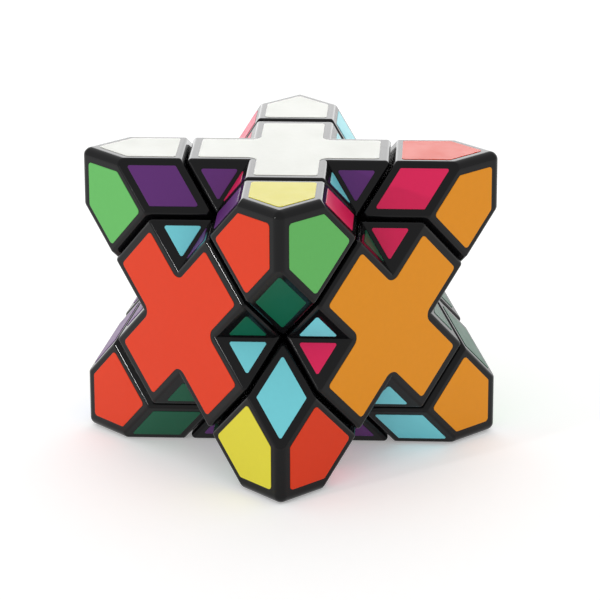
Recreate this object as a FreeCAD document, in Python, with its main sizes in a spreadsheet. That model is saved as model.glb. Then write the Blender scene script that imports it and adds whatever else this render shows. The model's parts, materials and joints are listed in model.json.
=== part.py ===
import FreeCAD, Part
"""Corner-turning twisty puzzle in the shape of a cube with a V groove across the middle of every edge.

Frame: millimetres, origin where the four turning axes cross, cube faces square to X, Y and Z, +Z up,
-Y the front and +X the right.

Outside: the solid is two crossed tetrahedra whose points and edges are cut flat by a cube. The groove
across a cube edge has its bottom line parallel to the far face diagonals, so each cube face keeps an X of
two crossed bars. Four planes through the centre, square to the body diagonals, cut the solid into fourteen
pieces: a centre on each face and a corner on each cube corner.

Inside: a core spider carries an arm along four of the eight corner directions. The anchored corners turn on
those arms, held by a screw, a washer and a spring. Round each arm's axis runs a ring. Every piece on the
arm's side of the cut has a curved tongue that crosses the cut, and every piece on the far side has a ring
groove that the tongue slides in. So a centre has two tongues and two grooves, a floating corner three
tongues and an anchored corner three grooves, and nothing can come out while the grooves hold the tongues.

Each piece is a hollow outer shell on a solid base whose plug fills the shell's open underside.
"""
import os
from FreeCAD import Placement, Rotation, Vector
import Sketcher

# Driving dimensions, in millimetres: alias, value, meaning.
SIZES = [
    ("cube_across", 64.0, "across two opposite faces"),
    ("bar_width", 16.3, "width of each bar of a face's X"),
    ("cut_gap", 0.5, "clearance between two pieces across a cut"),
    ("shell_wall", 2.0, "wall of every outer shell"),
    ("edge_round", 0.9, "radius of a shell's edges"),
    ("cube_edge_round", 1.8, "radius of the square cube edges of a corner shell"),
    ("label_thickness", 0.15, "vinyl label and the recess it lies in"),
    ("label_corner_round", 0.8, "radius of a face label's outward corners"),
    ("label_notch_round", 2.2, "radius of the X label's inward corners"),
    ("wall_label_round", 0.35, "radius of a diamond or triangle label's corners"),
    ("bar_border", 1.5, "from a bar's side to the X label"),
    ("arm_end_border", 3.08, "from the X's acute ends to the X label"),
    ("corner_bar_border", 1.36, "from a corner's bar side to its face label"),
    ("corner_cut_border", 1.22, "from a corner's cut to its face label"),
    ("corner_edge_border", 2.85, "from a cube edge to a corner's face label"),
    ("diamond_bar_border", 1.6, "from a bar's side to the diamond label"),
    ("diamond_cut_border", 1.65, "from the cut to the diamond label"),
    ("triangle_face_border", 2.2, "from the face's edge to a triangle label"),
    ("triangle_cut_border", 2.38, "from the cut to a triangle label"),
    ("triangle_valley_border", 0.95, "from the groove's bottom line to a triangle label"),
    ("core_radius", 9.0, "hub of the core spider"),
    ("core_clearance", 0.4, "between the hub and the bases"),
    ("arm_radius", 2.5, "core arm that an anchored corner turns on"),
    ("arm_length", 5.0, "core arm outside the hub"),
    ("bore_clearance", 0.3, "round an arm and round a screw"),
    ("tongue_radius", 18.5, "middle of the tongue ring, from its axis"),
    ("tongue_width", 3.0, "tongue, across the ring"),
    ("tongue_depth", 2.2, "tongue beyond the cut plane"),
    ("tongue_span", 11.4, "tongue, end to end"),
    ("tongue_clearance", 0.3, "between a tongue and its groove"),
    ("tongue_root", 1.5, "tongue buried in its own base"),
    ("groove_lip", 3.7, "base material outside a ring groove"),
    ("seam_gap", 0.1, "between a shell's rim and its base's ball"),
    ("plug_height", 3.0, "base's plug inside its shell"),
    ("screw_radius", 1.5, "axle screw's shank"),
    ("thread_length", 5.5, "screw inside its arm"),
    ("thread_clearance", 0.1, "round the shank in the arm's hole"),
    ("screw_head_radius", 3.0, "axle screw's head"),
    ("screw_head_height", 2.0, "axle screw's head"),
    ("socket_radius", 1.45, "hexagon socket, centre to corner"),
    ("socket_depth", 1.2, "hexagon socket"),
    ("washer_thickness", 0.5, "washer between spring and screw head"),
    ("spring_radius", 3.2, "spring coil, to the wire's middle"),
    ("spring_wire", 0.7, "spring wire's diameter"),
    ("spring_length", 6.0, "spring as fitted"),
    ("spring_turns", 4.5, "turns of the spring"),
    ("pocket_sink", 2.0, "spring pocket's floor below the base's ball"),
    ("pocket_clearance", 0.3, "round the washer in the pocket"),
    ("well_wall", 1.3, "wall of the well round the spring"),
    ("well_rim", 0.5, "well above the screw's head"),
]

# Lengths that follow from the driving ones.
HALF = "(sizes.cube_across / 2)"
GROOVE = "(sizes.bar_width / sqrt(2))"                          # cube edge left at each corner
GROOVE_PLANE = f"(({HALF} + {GROOVE}) / sqrt(3))"               # groove walls, from the centre
HALF_GAP = "(sizes.cut_gap / 2)"
FACE_CUT = f"({HALF} / sqrt(2))"                                # cut line on a face, from the middle
FACE_GAP = f"({HALF_GAP} * sqrt(3 / 2))"                        # the half gap, seen on a face
WALL_GAP = f"({HALF_GAP} * 3 / sqrt(8))"                        # the half gap, seen on a groove wall
TONGUE_IN = "(sizes.tongue_radius - sizes.tongue_width / 2)"
TONGUE_OUT = "(sizes.tongue_radius + sizes.tongue_width / 2)"
BASE_BALL = f"({TONGUE_OUT} + sizes.tongue_clearance + sizes.groove_lip)"
ARM_TOP = "(sizes.core_radius + sizes.arm_length)"
POCKET_FLOOR = f"({BASE_BALL} - sizes.pocket_sink)"
SPRING_TOP = f"({POCKET_FLOOR} + sizes.spring_length)"
HEAD_BOTTOM = f"({SPRING_TOP} + sizes.washer_thickness)"
HEAD_TOP = f"({HEAD_BOTTOM} + sizes.screw_head_height)"
WELL_TOP = f"({HEAD_TOP} + sizes.well_rim)"
SCREW_TIP = f"({ARM_TOP} - sizes.thread_length)"
WASHER_RADIUS = "(sizes.spring_radius + sizes.spring_wire)"
POCKET_RADIUS = f"({WASHER_RADIUS} + sizes.pocket_clearance)"
WELL_RADIUS = f"({POCKET_RADIUS} + sizes.well_wall)"
BORE_RADIUS = "(sizes.screw_radius + sizes.bore_clearance)"

UP = Vector(0, 0, 1)
DIAGONAL = Vector(1, 1, 1)
FACES = {
    "top": Vector(0, 0, 1),
    "bottom": Vector(0, 0, -1),
    "front": Vector(0, -1, 0),
    "rear": Vector(0, 1, 0),
    "right": Vector(1, 0, 0),
    "left": Vector(-1, 0, 0),
}
# The corners that the core's arms point at. The other four float.
ANCHORED = {
    "top_front_right": Vector(1, -1, 1),
    "top_rear_left": Vector(-1, 1, 1),
    "bottom_rear_right": Vector(1, 1, -1),
    "bottom_front_left": Vector(-1, -1, -1),
}
FLOATING = {
    "top_rear_right": Vector(1, 1, 1),
    "top_front_left": Vector(-1, -1, 1),
    "bottom_front_right": Vector(1, -1, -1),
    "bottom_rear_left": Vector(-1, 1, -1),
}
ALMOST_ZERO = 1e-6
SPRING_SEGMENT = 0.5  # turns of the spring's wire to each of its faces

doc = FreeCAD.newDocument("twisty_puzzle")


def make_sheet():
    """The spreadsheet that holds the driving dimensions, and that every formula reads."""
    sheet = doc.addObject("Spreadsheet::Sheet", "sizes")
    for row, (alias, value, meaning) in enumerate(SIZES, start=1):
        sheet.set(f"A{row}", alias)
        sheet.set(f"B{row}", str(value))
        sheet.set(f"C{row}", meaning)
        sheet.setAlias(f"B{row}", alias)
    doc.recompute()
    return sheet


sheet = make_sheet()


def value_of(formula):
    """A formula's present value, as a plain number."""
    return float(sheet.evalExpression(formula))


def unit(vector):
    return Vector(vector).normalize()


def make(kind, name, **formulas):
    """A document object whose properties are bound to formulas."""
    made = doc.addObject(kind, name)
    for prop, formula in formulas.items():
        made.setExpression(prop, formula)
    return made


def place(thing, turn, *shifts):
    """Turn a thing, and bind its position to the sum of the shifts, each a direction and a formula."""
    thing.Placement = Placement(Vector(), turn)
    for axis in "xyz":
        terms = [f"{getattr(way, axis):.12f} * {formula}" for way, formula in shifts]
        thing.setExpression(f"Placement.Base.{axis}", " + ".join(terms))
    return thing


def frame_turn(along_x, along_z):
    """The rotation that sends the local X and Z axes along two directions at right angles."""
    return Rotation(along_x, Vector(), along_z, "ZXY")


def cut(name, base, *tools):
    """Base less the tools."""
    made = doc.addObject("Part::Cut", name)
    made.Base = base
    made.Tool = tools[0] if len(tools) == 1 else fuse(name + "_tools", *tools)
    return made


def fuse(name, *shapes):
    made = doc.addObject("Part::MultiFuse", name)
    made.Shapes = list(shapes)
    return made


def common(name, *shapes):
    made = doc.addObject("Part::MultiCommon", name)
    made.Shapes = list(shapes)
    return made


def group(name, *links):
    """Separate solids held together as one object."""
    made = doc.addObject("Part::Compound", name)
    made.Links = list(links)
    return made


def post(name, axis, low, high, radius):
    """A cylinder on an axis through the centre, between two distances from it."""
    made = make("Part::Cylinder", name, Radius=radius, Height=f"{high} - {low}")
    return place(made, Rotation(UP, axis), (unit(axis), low))


def ball(name, radius):
    return make("Part::Sphere", name, Radius=radius)


def ring(name, axis, inner, outer, low, high):
    """A square-sided ring round an axis through the centre."""
    rim = post(name + "_rim", axis, low, high, outer)
    hole = post(name + "_hole", axis, f"({low} - 1)", f"({high} + 1)", inner)
    return cut(name, rim, hole)


def beyond(name, outward, distance):
    """A box that covers everything beyond a plane, which is square to outward at a distance."""
    side = "(4 * sizes.cube_across)"
    made = make("Part::Box", name, Length=side, Width=side, Height=side)
    turn = Rotation(UP, outward)
    middle = turn.multVec(Vector(-0.5, -0.5, 0))
    return place(made, turn, (middle, side), (unit(outward), distance))


# ---- outer forms -------------------------------------------------------------------------------------


def centre_block(name, inset):
    """The top centre's form, with every face moved inwards by the inset."""
    reach = f"({HALF} - {inset})"
    block = make("Part::Box", name + "_box", Length=f"2 * {reach}", Width=f"2 * {reach}", Height=reach)
    place(block, Rotation(), (Vector(-1, -1, 0), reach))
    tools = []
    for index in range(4):
        quarter = Rotation(UP, 90 * index)
        outward = quarter.multVec(Vector(1, 1, -1))
        tools.append(beyond(f"{name}_cut{index}", outward, f"(-{HALF_GAP} - {inset})"))
        walls = []
        for side in (1, -1):
            outward = quarter.multVec(Vector(1, side, 1))
            distance = f"({GROOVE_PLANE} - {inset})"
            walls.append(beyond(f"{name}_groove{index}_wall{len(walls)}", outward, distance))
        tools.append(common(f"{name}_groove{index}", *walls))
    return cut(name, block, *tools)


def corner_block(name, inset):
    """The form of the corner on the +X +Y +Z diagonal, with every face moved inwards by the inset."""
    reach = f"({HALF} - {inset})"
    block = make("Part::Box", name + "_box", Length=reach, Width=reach, Height=reach)
    tools = []
    for index in range(3):
        third = Rotation(DIAGONAL, 120 * index)
        outward = third.multVec(Vector(-1, -1, 1))
        tools.append(beyond(f"{name}_cut{index}", outward, f"(-{HALF_GAP} - {inset})"))
        outward = third.multVec(Vector(1, 1, -1))
        tools.append(beyond(f"{name}_groove{index}", outward, f"({GROOVE_PLANE} - {inset})"))
    return cut(name, block, *tools)


def face_normals(shape, edge):
    """The outward normals of the two flat faces that meet at an edge."""
    first, second = shape.ancestorsOfType(edge, Part.Face)
    return first.normalAt(0, 0), second.normalAt(0, 0)


def is_hollow_edge(shape, edge):
    """True where the two faces meet in a valley."""
    first, second = face_normals(shape, edge)
    middle = edge.valueAt((edge.FirstParameter + edge.LastParameter) / 2)
    return shape.isInside(middle + (first - second) * 0.01, ALMOST_ZERO, False)


def rounded(name, base, radius_of):
    """Base with its edges rounded. radius_of gives an edge's radius, or None to leave it sharp."""
    doc.recompute()
    made = doc.addObject("Part::Fillet", name)
    made.Base = base
    edges = []
    for index, edge in enumerate(base.Shape.Edges, start=1):
        radius = radius_of(base.Shape, edge)
        if radius is not None:
            edges.append((index, radius, radius))
    made.Edges = edges
    return made


def shell_edge_radius(shape, edge):
    """Square edges are the cube's own, and get the larger radius. Valleys stay sharp."""
    if is_hollow_edge(shape, edge):
        return None
    first, second = face_normals(shape, edge)
    if abs(first.dot(second)) < ALMOST_ZERO:
        return value_of("sizes.cube_edge_round")
    return value_of("sizes.edge_round")


def shell(name, block_form, labels, *rooms):
    """A hollow shell of a block's form, open inwards, with a shallow recess for each label.

    The rooms are what its inside leaves free besides."""
    outer = rounded(name + "_outer", block_form(name + "_block", "0"), shell_edge_radius)
    cavity = block_form(name + "_cavity", "sizes.shell_wall")
    seam = ball(name + "_seam", f"({BASE_BALL} + sizes.seam_gap)")
    hollow = cut(name + "_hollow", outer, cavity, seam, *rooms)
    return cut(name, hollow, labels)


# ---- labels ------------------------------------------------------------------------------------------


def outline(name, corners):
    """A closed sketch of straight lines, its corners bound to pairs of formulas."""
    sketch = doc.addObject("Sketcher::SketchObject", name)
    points = [Vector(value_of(across), value_of(along), 0) for across, along in corners]
    lines = [Part.LineSegment(start, end) for start, end in zip(points, points[1:] + points[:1])]
    sketch.addGeometry(lines, False)
    count = len(corners)
    for index in range(count):
        sketch.addConstraint(Sketcher.Constraint("Coincident", index, 2, (index + 1) % count, 1))
    for index, formulas in enumerate(corners):
        for kind, axis, formula in zip(("DistanceX", "DistanceY"), "xy", formulas):
            size = getattr(points[index], axis)
            number = sketch.addConstraint(Sketcher.Constraint(kind, -1, 1, index, 1, size))
            sketch.setExpression(f"Constraints[{number}]", formula)
    return sketch


def vinyl(name, sketch):
    """A label of a sketch's outline, lying on the sketch's plane."""
    made = make("Part::Extrusion", name, LengthFwd="sizes.label_thickness")
    made.Base = sketch
    made.DirMode = "Normal"
    made.Solid = True
    return made


def outline_radius(corner_size):
    """The radius of a label's edges: only the corners of its outline are rounded."""
    def radius_of(shape, edge):
        start, end = (vertex.Point for vertex in edge.Vertexes)
        if abs(unit(end - start).z) < 1 - ALMOST_ZERO:
            return None
        if is_hollow_edge(shape, edge):
            return value_of("sizes.label_notch_round")
        return value_of(corner_size)
    return radius_of


def face_label():
    """The X label of the top centre."""
    end = f"({FACE_CUT} - {FACE_GAP} - sizes.arm_end_border)"
    side = "(sizes.bar_width / 2 - sizes.bar_border)"
    corners = []
    for across, along in ((1, 1), (-1, 1), (-1, -1), (1, -1)):
        quadrant = [(f"{across} * {end}", f"{along} * {side}"),
                    (f"{across} * {side}", f"{along} * {side}"),
                    (f"{across} * {side}", f"{along} * {end}")]
        # every other quadrant is a mirror image, so its corners come in the other order
        corners += quadrant if across == along else quadrant[::-1]
    flat = rounded("x_label_round", vinyl("x_label_flat", outline("x_label_sketch", corners)),
                   outline_radius("sizes.label_corner_round"))
    made = group("x_label", flat)
    return place(made, Rotation(UP, 45), (UP, f"({HALF} - sizes.label_thickness)"))


def turned_copies(name, source, axis, count):
    """Copies of a source spaced evenly round an axis through the centre."""
    copies = []
    for index in range(count):
        copy = group(f"{name}_{index}", source)
        copy.Placement = Placement(Vector(), Rotation(axis, 360 / count * index))
        copies.append(copy)
    return group(name, *copies)


def house_labels():
    """The three five-sided labels of the corner on the +X +Y +Z diagonal."""
    inner = f"({FACE_CUT} + {FACE_GAP} + sizes.corner_cut_border)"
    side = "(sizes.bar_width / 2 - sizes.corner_bar_border)"
    tip = f"(({HALF} - sizes.corner_edge_border) * sqrt(2))"
    corners = [(inner, f"-{side}"), (f"{tip} - {side}", f"-{side}"), (tip, "0"),
               (f"{tip} - {side}", side), (inner, side)]
    flat = rounded("house_round", vinyl("house_flat", outline("house_sketch", corners)),
                   outline_radius("sizes.label_corner_round"))
    made = group("house_label", flat)
    place(made, Rotation(UP, 45), (UP, f"({HALF} - sizes.label_thickness)"))
    return turned_copies("house_labels", made, DIAGONAL, 3)


def diamond_labels():
    """The three diamond labels of the corner on the +X +Y +Z diagonal, on its groove walls."""
    edge_distance = f"(({HALF} - {GROOVE}) * sqrt(6) / 8)"
    to_bar = f"({edge_distance} - sizes.diamond_bar_border)"
    to_cut = f"({edge_distance} - {WALL_GAP} - sizes.diamond_cut_border)"
    side = f"(({to_bar} + {to_cut}) / sqrt(3))"
    side_height = f"({to_bar} - {to_cut})"
    corners = [("0", f"2 * {to_bar}"), (f"-{side}", side_height), ("0", f"-2 * {to_cut}"),
               (side, side_height)]
    flat = rounded("diamond_round", vinyl("diamond_flat", outline("diamond_sketch", corners)),
                   outline_radius("sizes.wall_label_round"))
    made = group("diamond_label", flat)
    outward = unit(Vector(1, -1, 1))
    place(made, frame_turn(Vector(1, 0, -1), outward), (Vector(0.75, 0.5, 0.75), HALF),
          (Vector(0.25, -0.5, 0.25), GROOVE), (outward, "(-sizes.label_thickness)"))
    return turned_copies("diamond_labels", made, DIAGONAL, 3)


def triangle_labels():
    """The eight triangle labels of the top centre, two on the walls of each of its notches."""
    borders = ["sizes.triangle_face_border", "sizes.triangle_cut_border", "sizes.triangle_valley_border"]
    mean = f"(({' + '.join(borders)}) / 3)"
    radius = f"(({HALF} - {GROOVE}) / sqrt(6) - 2 * {mean})"
    flat = make("Part::Prism", "triangle_flat", Circumradius=radius, Height="sizes.label_thickness")
    flat.Polygon = 3
    rounded_flat = rounded("triangle_round", flat, outline_radius("sizes.wall_label_round"))
    pair = []
    for side in (1, -1):
        made = group(f"triangle_label{len(pair)}", rounded_flat)
        outward = unit(Vector(1, -side, 1))
        # the ways out of the label's three edges, in the order of the borders
        ways = (Vector(-1, side, 2), Vector(2, side, -1), Vector(-1, -2 * side, -1))
        shifts = [(unit(way) * (2 / 3), f"({mean} - {border})") for way, border in zip(ways, borders)]
        place(made, frame_turn(Vector(-2, -side, 1), outward), (Vector(1 / 3, side / 6, 5 / 6), HALF),
              (Vector(2 / 3, -side / 6, 1 / 6), GROOVE), (outward, "(-sizes.label_thickness)"), *shifts)
        pair.append(made)
    return turned_copies("triangle_labels", group("triangle_pair", *pair), UP, 4)


# ---- bases -------------------------------------------------------------------------------------------


def tongue(name, axis, middle):
    """A curved tongue that crosses the cut square to an axis, centred on the middle direction."""
    low = "(-sizes.tongue_depth)"
    high = "sizes.tongue_root"
    whole = ring(name + "_ring", axis, TONGUE_IN, TONGUE_OUT, low, high)
    keep = make("Part::Box", name + "_keep", Length=f"2 * {TONGUE_OUT}", Width="sizes.tongue_span",
                Height=f"{high} - {low}")
    across = unit(axis).cross(unit(middle))
    place(keep, frame_turn(middle, axis), (unit(axis), low), (across, "(-sizes.tongue_span / 2)"))
    return common(name, whole, keep)


def ring_groove(name, axis):
    """The ring groove beyond the cut square to an axis, with the tongue's clearance round it."""
    return ring(name, axis, f"({TONGUE_IN} - sizes.tongue_clearance)",
                f"({TONGUE_OUT} + sizes.tongue_clearance)",
                "(-sizes.tongue_depth - sizes.tongue_clearance)", "sizes.tongue_root")


def base_body(name, block_form):
    """A piece's share of the inner ball, with the plug that closes its shell."""
    foot = common(name + "_foot", ball(name + "_ball", BASE_BALL), block_form(name + "_form", "0"))
    plug = common(name + "_plug", ball(name + "_plug_ball", f"({BASE_BALL} + sizes.plug_height)"),
                  block_form(name + "_plug_form", "sizes.shell_wall"))
    hub = ball(name + "_hub_room", "sizes.core_radius + sizes.core_clearance")
    return foot, plug, hub


def flat_part(vector, normal):
    """What is left of a vector square to a normal."""
    normal = unit(normal)
    return unit(vector - normal * vector.dot(normal))


def centre_base():
    """The top centre's base. Its tongues circle the two anchored corners that its face touches."""
    foot, plug, hub = base_body("centre_base", centre_block)
    near = [axis for axis in ANCHORED.values() if axis.z > 0]
    far = [axis for axis in ANCHORED.values() if axis.z < 0]
    grooves = [ring_groove(f"centre_groove{index}", axis) for index, axis in enumerate(far)]
    solid = cut("centre_base_cut", fuse("centre_base_solid", foot, plug), hub, *grooves)
    tongues = []
    for index, axis in enumerate(near):
        whole = tongue(f"centre_tongue{index}", axis, flat_part(UP, axis))
        # a neighbour's tongue crosses each far cut, so this one ends clear of it
        ends = [beyond(f"centre_tongue{index}_end{number}", other,
                       "(-sizes.tongue_depth - sizes.tongue_clearance)")
                for number, other in enumerate(far)]
        tongues.append(cut(f"centre_tongue{index}_trimmed", whole, *ends))
    return fuse("centre_base", solid, *tongues)


def corner_cuts():
    """Inward normals of the three cuts of the corner on the +X +Y +Z diagonal."""
    return [Rotation(DIAGONAL, 120 * index).multVec(Vector(1, 1, -1)) for index in range(3)]


def floating_base():
    """A floating corner's base, with a tongue across each of its three cuts."""
    foot, plug, hub = base_body("floating_base", corner_block)
    solid = cut("floating_base_cut", fuse("floating_base_solid", foot, plug), hub)
    tongues = [tongue(f"floating_tongue{index}", axis, flat_part(DIAGONAL, axis))
               for index, axis in enumerate(corner_cuts())]
    return fuse("floating_base", solid, *tongues)


def anchored_base():
    """An anchored corner's base, bored for its arm and screw, with a well for the spring."""
    foot, plug, hub = base_body("anchored_base", corner_block)
    well = post("well", DIAGONAL, POCKET_FLOOR, WELL_TOP, WELL_RADIUS)
    arm_bore = post("arm_bore", DIAGONAL, "0", f"({ARM_TOP} + sizes.core_clearance)",
                    "sizes.arm_radius + sizes.bore_clearance")
    screw_bore = post("screw_bore", DIAGONAL, "0", WELL_TOP, BORE_RADIUS)
    pocket = post("pocket", DIAGONAL, POCKET_FLOOR, f"({WELL_TOP} + 1)", POCKET_RADIUS)
    grooves = [ring_groove(f"anchored_groove{index}", axis * -1)
               for index, axis in enumerate(corner_cuts())]
    return cut("anchored_base", fuse("anchored_base_solid", foot, plug, well), hub, arm_bore,
               screw_bore, pocket, *grooves)


# ---- core, screws, washers and springs ---------------------------------------------------------------


def core_spider():
    """The hub and its four arms, each with a hole for its screw."""
    arms = [post(f"arm_{name}", axis, "0", ARM_TOP, "sizes.arm_radius")
            for name, axis in ANCHORED.items()]
    holes = [post(f"arm_hole_{name}", axis, SCREW_TIP, f"({ARM_TOP} + 1)",
                  "sizes.screw_radius + sizes.thread_clearance")
             for name, axis in ANCHORED.items()]
    return cut("spider", fuse("spider_solid", ball("hub", "sizes.core_radius"), *arms), *holes)


def axle_screw():
    """A socket-head screw on the +Z axis, its tip on the bottom of the arm's hole."""
    shank = post("screw_shank", UP, SCREW_TIP, HEAD_BOTTOM, "sizes.screw_radius")
    head = post("screw_head", UP, HEAD_BOTTOM, HEAD_TOP, "sizes.screw_head_radius")
    socket = make("Part::Prism", "screw_socket", Circumradius="sizes.socket_radius",
                  Height="sizes.socket_depth + 1")
    socket.Polygon = 6
    place(socket, Rotation(), (UP, f"({HEAD_TOP} - sizes.socket_depth)"))
    return cut("screw", fuse("screw_solid", shank, head), socket)


def spring_washer():
    """The washer on the +Z axis between the spring and the screw's head."""
    disc = post("washer_disc", UP, SPRING_TOP, HEAD_BOTTOM, WASHER_RADIUS)
    hole = post("washer_hole", UP, f"({SPRING_TOP} - 1)", f"({HEAD_BOTTOM} + 1)", BORE_RADIUS)
    return cut("washer", disc, hole)


def axle_spring():
    """The compression spring on the +Z axis, standing on the pocket's floor."""
    rise = "(sizes.spring_length - sizes.spring_wire)"
    path = make("Part::Helix", "spring_path", Radius="sizes.spring_radius", Height=rise,
                Pitch=f"{rise} / sizes.spring_turns")
    path.SegmentLength = SPRING_SEGMENT
    doc.recompute()
    wire = make("Part::Circle", "spring_wire", Radius="sizes.spring_wire / 2")
    place(wire, Rotation(Vector(1, 0, 0), 90), (Vector(1, 0, 0), "sizes.spring_radius"))
    coil = doc.addObject("Part::Sweep", "spring_coil")
    coil.Sections = [wire]
    coil.Spine = (path, [f"Edge{number}" for number, _ in enumerate(path.Shape.Edges, start=1)])
    coil.Solid = True
    coil.Frenet = True
    made = group("spring", coil)
    return place(made, Rotation(), (UP, f"({POCKET_FLOOR} + sizes.spring_wire / 2)"))


def on_every_arm(name, source):
    """A copy of an axial part on each of the four arms."""
    copies = []
    for corner, axis in ANCHORED.items():
        copy = group(f"{name}_{corner}", source)
        copy.Placement = Placement(Vector(), Rotation(UP, axis))
        copies.append(copy)
    return group(name, *copies)


# ---- the assembly ------------------------------------------------------------------------------------


def turn_between(face, corner, to_face, to_corner):
    """The rotation that takes a face and one of its corners to another face and corner."""
    start = frame_turn(corner - face, face)
    finish = frame_turn(to_corner - to_face, to_face)
    return finish.multiply(start.inverted())


def node(label, source, turn):
    """A finished sub-part: a source in its own place. Its label names its file."""
    made = group("node_" + label, source)
    made.Placement = Placement(Vector(), turn)
    made.Label = label
    return made


def touches(face, corner):
    return face.dot(corner) > 0


def assemble():
    """Every sub-part of the puzzle, in place."""
    x_label = face_label()
    triangles = triangle_labels()
    houses = house_labels()
    diamonds = diamond_labels()
    centre_labels = group("centre_labels", x_label, triangles)
    corner_labels = group("corner_labels", houses, diamonds)
    centre_parts = {
        "centre_shell": shell("centre_shell", centre_block, centre_labels),
        "centre_base": centre_base(),
        "centre_face_label": x_label,
        "centre_groove_labels": triangles,
    }
    well_room = post("well_room", DIAGONAL, POCKET_FLOOR, WELL_TOP, f"{WELL_RADIUS} + sizes.seam_gap")
    corner_shell = shell("corner_shell", corner_block, corner_labels, well_room)
    bases = ((ANCHORED, anchored_base()), (FLOATING, floating_base()))

    nodes = [
        node("core_spider", core_spider(), Rotation()),
        node("axle_screws", on_every_arm("screws", axle_screw()), Rotation()),
        node("spring_washers", on_every_arm("washers", spring_washer()), Rotation()),
        node("axle_springs", on_every_arm("springs", axle_spring()), Rotation()),
    ]
    home = next(axis for axis in ANCHORED.values() if touches(UP, axis))
    for place_name, face in FACES.items():
        corner = next(axis for axis in ANCHORED.values() if touches(face, axis))
        turn = turn_between(UP, home, face, corner)
        nodes += [node(f"{kind}_{place_name}", source, turn) for kind, source in centre_parts.items()]
    for corners, base in bases:
        corner_parts = {
            "corner_shell": corner_shell,
            "corner_base": base,
            "corner_face_labels": houses,
            "corner_groove_labels": diamonds,
        }
        for place_name, corner in corners.items():
            face = next(way for way in FACES.values() if touches(way, corner))
            turn = turn_between(UP, DIAGONAL, face, corner)
            nodes += [node(f"{kind}_{place_name}", source, turn)
                      for kind, source in corner_parts.items()]
    return nodes


def check(nodes):
    """Stop if any object failed to compute or any sub-part isn't a sound solid."""
    for thing in doc.Objects:
        if "Invalid" in thing.State or "Error" in thing.State:
            raise SystemExit(f"{thing.Name} failed: {thing.State}")
    for made in nodes:
        if made.Shape.isNull() or not made.Shape.isValid():
            raise SystemExit(f"{made.Label} has no valid shape")
        if not made.Shape.Solids:
            raise SystemExit(f"{made.Label} holds no solid")


def main():
    nodes = assemble()
    doc.recompute()
    check(nodes)
    os.makedirs("parts", exist_ok=True)
    for made in nodes:
        made.Shape.exportStep(f"parts/{made.Label}.step")
    print(f"{len(nodes)} sub-parts written")


main()
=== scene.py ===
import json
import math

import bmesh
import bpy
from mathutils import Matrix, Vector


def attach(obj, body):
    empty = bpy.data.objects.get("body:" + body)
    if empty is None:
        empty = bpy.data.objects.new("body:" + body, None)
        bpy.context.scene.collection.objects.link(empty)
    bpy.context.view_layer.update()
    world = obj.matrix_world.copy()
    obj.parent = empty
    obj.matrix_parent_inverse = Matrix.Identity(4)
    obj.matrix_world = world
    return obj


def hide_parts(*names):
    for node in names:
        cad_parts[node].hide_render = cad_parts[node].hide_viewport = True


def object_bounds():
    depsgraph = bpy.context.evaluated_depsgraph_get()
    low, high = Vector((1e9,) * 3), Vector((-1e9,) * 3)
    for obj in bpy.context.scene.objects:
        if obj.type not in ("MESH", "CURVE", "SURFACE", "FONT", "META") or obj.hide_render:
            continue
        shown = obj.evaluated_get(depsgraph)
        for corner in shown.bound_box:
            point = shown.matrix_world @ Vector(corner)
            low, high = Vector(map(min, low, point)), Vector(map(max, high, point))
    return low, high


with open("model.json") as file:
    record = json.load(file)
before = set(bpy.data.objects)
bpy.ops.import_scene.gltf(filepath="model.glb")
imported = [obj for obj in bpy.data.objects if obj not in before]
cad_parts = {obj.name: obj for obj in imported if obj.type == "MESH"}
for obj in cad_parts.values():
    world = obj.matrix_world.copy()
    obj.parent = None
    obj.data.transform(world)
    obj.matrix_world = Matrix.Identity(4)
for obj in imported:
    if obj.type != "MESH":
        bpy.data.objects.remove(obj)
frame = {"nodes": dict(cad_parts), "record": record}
cad_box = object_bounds()
# Looks for the corner-turning puzzle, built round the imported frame.
# Metres, +Z up, -Y the front, +X the right.
#
# The shells, bases and inner works are the CAD's own meshes with procedural plastics and metal. Every
# label is rebuilt here as die-cut vinyl that stands a little proud of its shell, with a rounded rim, in its
# own colour. The colours come from the puzzle's solved state and from how each piece has been turned since.

MM = 0.001
LOW, HIGH = cad_box
HALF = HIGH.z               # half an edge of the cube, whose centre is the origin

# ---- what colour each label is -----------------------------------------------------------------------

AXES = {"x": Vector((1, 0, 0)), "y": Vector((0, 1, 0)), "z": Vector((0, 0, 1))}
NO_PART = 0.3               # a part of a unit direction below this counts as none

# Solved, each cube face and each pair of parallel groove walls has one colour.
# A direction is its X, Y, Z signs. Blue is a guess: the sixth face's colour can't be seen.
SOLVED = {
    (0, 0, 1): "yellow", (0, 0, -1): "orange",
    (0, -1, 0): "red", (0, 1, 0): "white",
    (1, 0, 0): "green", (-1, 0, 0): "blue",
    (1, 1, 1): "magenta", (-1, -1, -1): "magenta",
    (-1, -1, 1): "purple", (1, 1, -1): "purple",
    (1, -1, 1): "cyan", (-1, 1, -1): "cyan",
    (1, -1, -1): "dark_green", (-1, 1, 1): "dark_green",
}

# How each piece has been turned since: what its X, Y and Z are now, in the directions that it had
# when solved. The bottom, rear and left centres and the bottom rear left corner face away, so theirs
# are inferred.
TURNED = {
    "centre_top": "-z -x +y",
    "centre_front": "+x +y +z",
    "centre_right": "-z +x -y",
    "centre_bottom": "-y -z +x",
    "centre_rear": "-z +x -y",
    "centre_left": "-z +x -y",
    "corner_top_front_right": "+x +y +z",
    "corner_top_front_left": "-z -x +y",
    "corner_top_rear_right": "-z +x -y",
    "corner_top_rear_left": "-z -x +y",
    "corner_bottom_front_left": "+x +y +z",
    "corner_bottom_rear_right": "-z +x -y",
    "corner_bottom_front_right": "-y -z +x",
    "corner_bottom_rear_left": "-y -z +x",
}

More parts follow.
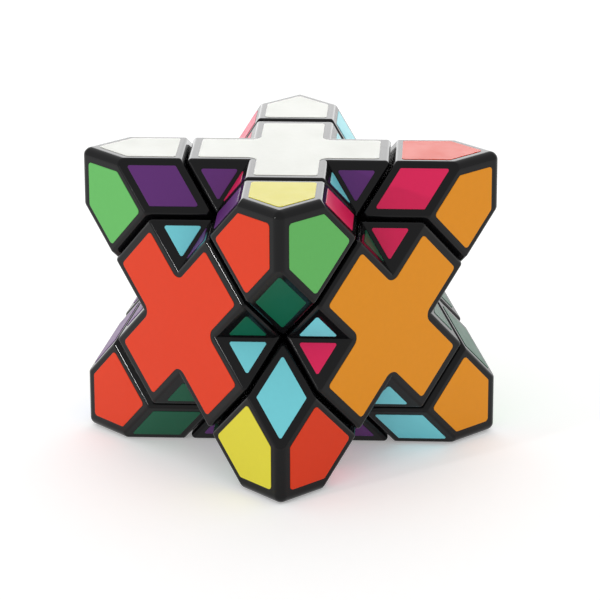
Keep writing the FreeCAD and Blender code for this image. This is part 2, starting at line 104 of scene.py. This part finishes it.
# Linear colours of the vinyl, set by repeated renders under this studio's lights, so the white is
# darker than real white vinyl.
VINYL = {
    "white": (0.69, 0.70, 0.65),
    "red": (0.685, 0.034, 0.001),
    "orange": (0.75, 0.265, 0.001),
    "yellow": (0.67, 0.60, 0.035),
    "green": (0.115, 0.450, 0.105),
    "blue": (0.012, 0.090, 0.450),
    "dark_green": (0.001, 0.094, 0.044),
    "cyan": (0.175, 0.62, 0.69),
    "purple": (0.110, 0.024, 0.165),
    "magenta": (0.71, 0.014, 0.095),
}


def signs(direction):
    """A face or wall normal as its X, Y, Z signs."""
    return tuple(0 if abs(part) < NO_PART else int(math.copysign(1, part)) for part in direction)


def label_colour(body, outward):
    """The colour of the label that faces outward on a piece."""
    now = signs(outward)
    solved = Vector((0, 0, 0))
    for part, (sign, axis) in zip(now, TURNED[body].split()):
        solved += AXES[axis] * part * (1 if sign == "+" else -1)
    return SOLVED[signs(solved)]


# ---- materials ---------------------------------------------------------------------------------------

GLOSS_IOR = 1.30            # lower than real plastic's 1.5, for a deep black head-on


class Graph:
    """A material's nodes. Its textures are laid out in the piece's own space, in metres."""

    def __init__(self, name):
        self.material = bpy.data.materials.new(name)
        self.material.use_nodes = True
        self.tree = self.material.node_tree
        self.shader = self.tree.nodes["Principled BSDF"]
        self.space = self.node("ShaderNodeTexCoord").outputs["Object"]

    def node(self, kind, **settings):
        made = self.tree.nodes.new(kind)
        for name, value in settings.items():
            setattr(made, name, value)
        return made

    def link(self, source, target):
        self.tree.links.new(source, target)

    def noise(self, size, detail=2.0, stretch=(1, 1, 1), turn=(0, 0, 0)):
        """Noise of a feature size in metres, stretched along turned axes."""
        mapping = self.node("ShaderNodeMapping")
        mapping.inputs["Scale"].default_value = [1 / (size * part) for part in stretch]
        mapping.inputs["Rotation"].default_value = [math.radians(part) for part in turn]
        self.link(self.space, mapping.inputs["Vector"])
        texture = self.node("ShaderNodeTexNoise")
        texture.inputs["Scale"].default_value = 1.0
        texture.inputs["Detail"].default_value = detail
        self.link(mapping.outputs["Vector"], texture.inputs["Vector"])
        return texture.outputs["Fac"]

    def spread(self, source, low, high, start=0.3, end=0.7):
        """Source's range from start to end, mapped to low to high."""
        made = self.node("ShaderNodeMapRange")
        values = {"From Min": start, "From Max": end, "To Min": low, "To Max": high}
        for name, value in values.items():
            made.inputs[name].default_value = value
        self.link(source, made.inputs["Value"])
        return made.outputs["Result"]

    def add(self, first, second):
        made = self.node("ShaderNodeMath", operation="ADD")
        self.link(first, made.inputs[0])
        self.link(second, made.inputs[1])
        return made.outputs["Value"]

    def tint(self, source, colour, other):
        """A colour that runs from one to another as source does."""
        made = self.node("ShaderNodeMix", data_type="RGBA")
        made.inputs["A"].default_value = (*colour, 1)
        made.inputs["B"].default_value = (*other, 1)
        self.link(source, made.inputs["Factor"])
        self.link(made.outputs["Result"], self.shader.inputs["Base Color"])

    def bump(self, *layers):
        """Relief in layers, each a height source and its depth in metres."""
        normal = None
        for source, depth in layers:
            made = self.node("ShaderNodeBump")
            made.inputs["Distance"].default_value = depth
            self.link(source, made.inputs["Height"])
            if normal:
                self.link(normal, made.inputs["Normal"])
            normal = made.outputs["Normal"]
        self.link(normal, self.shader.inputs["Normal"])

    def rough(self, source):
        self.link(source, self.shader.inputs["Roughness"])

    def fixed(self, socket, value):
        self.shader.inputs[socket].default_value = value


def scaled(colour, share):
    return tuple(part * share for part in colour)


def moulded(name, colour, gloss, grain, scratch):
    """Moulded plastic: a fine grain, a slow waver from the mould, and hairline scratches from handling.

    Gloss is the roughness from shiniest to dullest, grain its relief, and scratch the hairs' added roughness.
    """
    graph = Graph(name)
    cloud = graph.noise(size=9 * MM, detail=3)
    hairs = graph.noise(size=0.35 * MM, detail=1, stretch=(1, 60, 60), turn=(20, 35, 50))
    more_hairs = graph.noise(size=0.35 * MM, detail=1, stretch=(60, 1, 60), turn=(-40, 10, -25))
    lines = graph.add(graph.spread(hairs, low=0, high=scratch, start=0.66, end=0.72),
                      graph.spread(more_hairs, low=0, high=scratch, start=0.67, end=0.73))
    graph.rough(graph.add(graph.spread(cloud, *gloss), lines))
    graph.tint(cloud, scaled(colour, share=0.85), scaled(colour, share=1.15))
    graph.bump((graph.noise(size=0.12 * MM), grain), (graph.noise(size=4 * MM), 5 * grain))
    graph.fixed("IOR", GLOSS_IOR)
    return graph.material


def vinyl(colour_name):
    """Printed vinyl: an even colour with a faint mottle, and the orange peel of a pressed film."""
    graph = Graph("vinyl_" + colour_name)
    colour = VINYL[colour_name]
    mottle = graph.noise(size=1.4 * MM, detail=4)
    graph.tint(mottle, scaled(colour, share=0.965), scaled(colour, share=1.02))
    graph.rough(graph.spread(graph.noise(size=5 * MM, detail=3), low=0.30, high=0.38))
    graph.bump((graph.noise(size=0.25 * MM), 0.001 * MM), (graph.noise(size=2.5 * MM), 0.004 * MM))
    graph.fixed("IOR", GLOSS_IOR)
    return graph.material


def plated_steel(name):
    """Zinc-plated steel with fine drawing lines."""
    graph = Graph(name)
    lines = graph.noise(size=0.08 * MM, detail=2, stretch=(1, 1, 25))
    graph.tint(graph.noise(size=2 * MM), colour=(0.50, 0.51, 0.53), other=(0.60, 0.60, 0.61))
    graph.rough(graph.spread(lines, low=0.22, high=0.40))
    graph.bump((lines, 0.0015 * MM))
    graph.fixed("Metallic", 1.0)
    return graph.material


def dress_cad_nodes():
    """Procedural materials on the CAD's own pieces."""
    finishes = {
        "black_plastic": moulded("glossy_black", colour=(0.003, 0.003, 0.0035), gloss=(0.08, 0.13),
                                 grain=0.0004 * MM, scratch=0.10),
        "inner_plastic": moulded("satin_black", colour=(0.016, 0.016, 0.017), gloss=(0.36, 0.46),
                                 grain=0.0015 * MM, scratch=0.12),
        "core_plastic": moulded("natural_white", colour=(0.66, 0.65, 0.60), gloss=(0.34, 0.44),
                                grain=0.0012 * MM, scratch=0.08),
        "steel": plated_steel("plated_steel"),
    }
    for part in frame["nodes"].values():
        for place in part.material_slots:
            slot_name = place.material.name.split(".")[0]
            if slot_name in finishes:
                place.material = finishes[slot_name]


# ---- labels ------------------------------------------------------------------------------------------

LABEL_RISE = 0.10 * MM      # above the shell
LABEL_SINK = 0.10 * MM      # into the shell's recess
LABEL_OVERLAP = 0.03 * MM   # past the recess all round
RIM_ROUND = 0.07 * MM
RIM_STEPS = 3
LONG_EDGE = 1.0 * MM        # an outline's straight runs are longer, and the steps of its arcs shorter
ARC_STEP = math.radians(7)
SAME_POINT = 1e-7           # vertices this close are one
SQUARE = 0.999              # a face belongs to a label's outer side if its normal has this cosine or more


def islands(mesh):
    """The separate solids of a mesh, each as a list of bmesh faces, with the bmesh that holds them.

    They are found in the order of the mesh's faces, so that each run makes the same pieces in the same order.
    """
    work = bmesh.new()
    work.from_mesh(mesh)
    bmesh.ops.remove_doubles(work, verts=work.verts, dist=SAME_POINT)
    found = []
    seen = set()
    for first in work.faces:
        if first in seen:
            continue
        seen.add(first)
        seeds = [first]
        members = []
        while seeds:
            face = seeds.pop()
            members.append(face)
            for edge in face.edges:
                for other in edge.link_faces:
                    if other not in seen:
                        seen.add(other)
                        seeds.append(other)
        found.append(members)
    return work, found


def outer_side(faces):
    """The outward normal of a label, and the faces of its outer side."""
    middle = sum((face.calc_center_median() for face in faces), Vector()) / len(faces)
    largest = max(faces, key=lambda face: face.calc_area() * (face.normal.dot(middle) > 0))
    normal = Vector(signs(largest.normal)).normalized()
    return normal, [face for face in faces if face.normal.dot(normal) > SQUARE]


def border(faces):
    """The outline of a flat patch, as points in order, anticlockwise seen from outside."""
    patch = set(faces)
    following = {}
    for face in faces:
        for loop in face.loops:
            if not any(other in patch for other in loop.edge.link_faces if other is not face):
                following[loop.vert] = loop.link_loop_next.vert
    start = next(iter(following))
    points = [start.co.copy()]
    vertex = following[start]
    while vertex is not start:
        points.append(vertex.co.copy())
        vertex = following[vertex]
    return points


def straight_runs(points):
    """The outline's long edges in order, each as its two ends."""
    pairs = zip(points, points[1:] + points[:1])
    return [(start, end) for start, end in pairs if (end - start).length > LONG_EDGE]


def rounded_outline(points, normal):
    """The same outline with each rounded corner as a fine, true arc."""
    runs = straight_runs(points)
    smooth = []
    for (start, end), (next_start, next_end) in zip(runs, runs[1:] + runs[:1]):
        along = (end - start).normalized()
        onward = (next_end - next_start).normalized()
        turn = math.atan2(along.cross(onward).dot(normal), along.dot(onward))
        gap = (next_start - end).length
        radius = gap / (2 * math.sin(abs(turn) / 2))
        side = normal.cross(along) * math.copysign(radius, turn)
        centre = end + side
        steps = max(2, round(abs(turn) / ARC_STEP))
        for step in range(steps + 1):
            smooth.append(centre + Matrix.Rotation(turn * step / steps, 3, normal) @ -side)
    return smooth


def offset(points, normal, inwards, height):
    """An outline moved inwards and along its normal."""
    moved = []
    for before, point, after in zip(points[-1:] + points[:-1], points, points[1:] + points[:1]):
        first = normal.cross((point - before).normalized())
        second = normal.cross((after - point).normalized())
        moved.append(point + (first + second) * (inwards / (1 + first.dot(second))) + normal * height)
    return moved


def add_label(work, outline, normal):
    """One die-cut label: straight sides, a rounded rim and a flat top, closed underneath."""
    levels = [(-LABEL_OVERLAP, -LABEL_SINK), (-LABEL_OVERLAP, LABEL_RISE - RIM_ROUND)]
    for step in range(1, RIM_STEPS + 1):
        angle = math.pi / 2 * step / RIM_STEPS
        levels.append((RIM_ROUND * (1 - math.cos(angle)) - LABEL_OVERLAP,
                       LABEL_RISE - RIM_ROUND * (1 - math.sin(angle))))
    rings = [[work.verts.new(point) for point in offset(outline, normal, inwards, height)]
             for inwards, height in levels]
    for lower, upper in zip(rings, rings[1:]):
        for index in range(len(outline)):
            after = (index + 1) % len(outline)
            side = work.faces.new((lower[index], lower[after], upper[after], upper[index]))
            side.smooth = True
    work.faces.new(rings[-1])
    work.faces.new(rings[0][::-1])


def make_labels(node_name, body, vinyls):
    """Every label of a CAD node, one piece for each colour."""
    source, found = islands(frame["nodes"][node_name].data)
    by_colour = {}
    for faces in found:
        normal, side = outer_side(faces)
        outline = rounded_outline(border(side), normal)
        colour = label_colour(body, normal)
        work = by_colour.setdefault(colour, bmesh.new())
        add_label(work, outline, normal)
    source.free()
    for colour, work in by_colour.items():
        name = f"{node_name}_{colour}"
        mesh = bpy.data.meshes.new(name)
        work.to_mesh(mesh)
        work.free()
        mesh.materials.append(vinyls[colour])
        piece = bpy.data.objects.new(name, mesh)
        bpy.context.scene.collection.objects.link(piece)
        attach(piece, body)
        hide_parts(node_name)


# ---- camera, light and floor -------------------------------------------------------------------------

# The viewpoint, with its lengths in half edges of the cube.
AZIMUTH = math.radians(47.86)
ELEVATION = math.radians(19.42)
ROLL = math.radians(-0.20)
DISTANCE = 22.14
SIDEWAYS = 0.063
UPWARDS = -0.0708
SENSOR = 36.0               # the film's width and the focal length, in millimetres
LENS = 195.06
NEAREST = 0.01              # what the camera draws, from and to
FARTHEST = 20

FLOOR_HALF = 3.0
FLOOR_GAP = 0.02 * MM       # under the bottom labels, which the puzzle stands on
FLOOR_GLOW = 0.27


def make_camera():
    data = bpy.data.cameras.new("camera")
    data.sensor_width = SENSOR
    data.lens = LENS
    data.clip_start = NEAREST
    data.clip_end = FARTHEST
    camera = bpy.data.objects.new("camera", data)
    bpy.context.scene.collection.objects.link(camera)
    back = Vector((math.sin(AZIMUTH) * math.cos(ELEVATION), -math.cos(AZIMUTH) * math.cos(ELEVATION),
                   math.sin(ELEVATION)))
    level = Vector((math.cos(AZIMUTH), math.sin(AZIMUTH), 0))
    above = back.cross(level)
    right = level * math.cos(ROLL) + above * math.sin(ROLL)
    up = above * math.cos(ROLL) - level * math.sin(ROLL)
    place = (back * DISTANCE + right * SIDEWAYS + up * UPWARDS) * HALF
    turn = Matrix((right, up, back)).transposed().to_4x4()
    camera.matrix_world = Matrix.Translation(place) @ turn
    bpy.context.scene.camera = camera


def softbox(name, direction, distance, width, height, radiance):
    """A rectangular light of a known brightness that faces the puzzle."""
    data = bpy.data.lights.new(name, "AREA")
    data.shape = "RECTANGLE"
    data.size = width
    data.size_y = height
    data.energy = radiance * math.pi * width * height
    light = bpy.data.objects.new(name, data)
    bpy.context.scene.collection.objects.link(light)
    aim = Vector(direction).normalized()
    light.location = aim * distance
    light.rotation_mode = "QUATERNION"
    light.rotation_quaternion = aim.to_track_quat("Z", "Y")
    light.visible_camera = False


def make_world(radiance):
    world = bpy.data.worlds.new("studio")
    world.use_nodes = True
    sky = world.node_tree.nodes["Background"]
    sky.inputs["Color"].default_value = (1, 1, 1, 1)
    sky.inputs["Strength"].default_value = radiance
    bpy.context.scene.world = world


def make_floor():
    """A white acrylic sheet lit from below, as on a product photographer's light table."""
    work = bmesh.new()
    bmesh.ops.create_grid(work, x_segments=1, y_segments=1, size=FLOOR_HALF)
    mesh = bpy.data.meshes.new("floor")
    work.to_mesh(mesh)
    work.free()
    graph = Graph("lit_acrylic")
    graph.tint(graph.noise(size=3 * MM), colour=(0.85, 0.85, 0.85), other=(0.88, 0.88, 0.88))
    graph.fixed("Emission Color", (1, 1, 1, 1))
    graph.fixed("Emission Strength", FLOOR_GLOW)
    graph.fixed("Roughness", 0.9)
    graph.fixed("Specular IOR Level", 0.1)
    mesh.materials.append(graph.material)
    floor = bpy.data.objects.new("floor", mesh)
    floor.location.z = LOW.z - LABEL_RISE - FLOOR_GAP
    bpy.context.scene.collection.objects.link(floor)


def make_studio():
    make_camera()
    make_world(radiance=0.80)
    softbox("back_softbox", direction=(-0.72, 0.65, 0.24), distance=1.1, width=1.8, height=0.56, radiance=2.4)
    softbox("edge_lamp", direction=(-0.12, -0.96, 0.26), distance=1.0, width=0.03, height=0.03, radiance=600)
    view = bpy.context.scene.view_settings
    view.view_transform = "Standard"
    view.look = "None"
    make_floor()


# ---- the whole ---------------------------------------------------------------------------------------

make_studio()
dress_cad_nodes()
vinyls = {name: vinyl(name) for name in VINYL}
for body, members in frame["record"]["behaviour"]["bodies"].items():
    for member in members:
        if "label" in member:
            make_labels(member, body, vinyls)

bpy.context.view_layer.update()
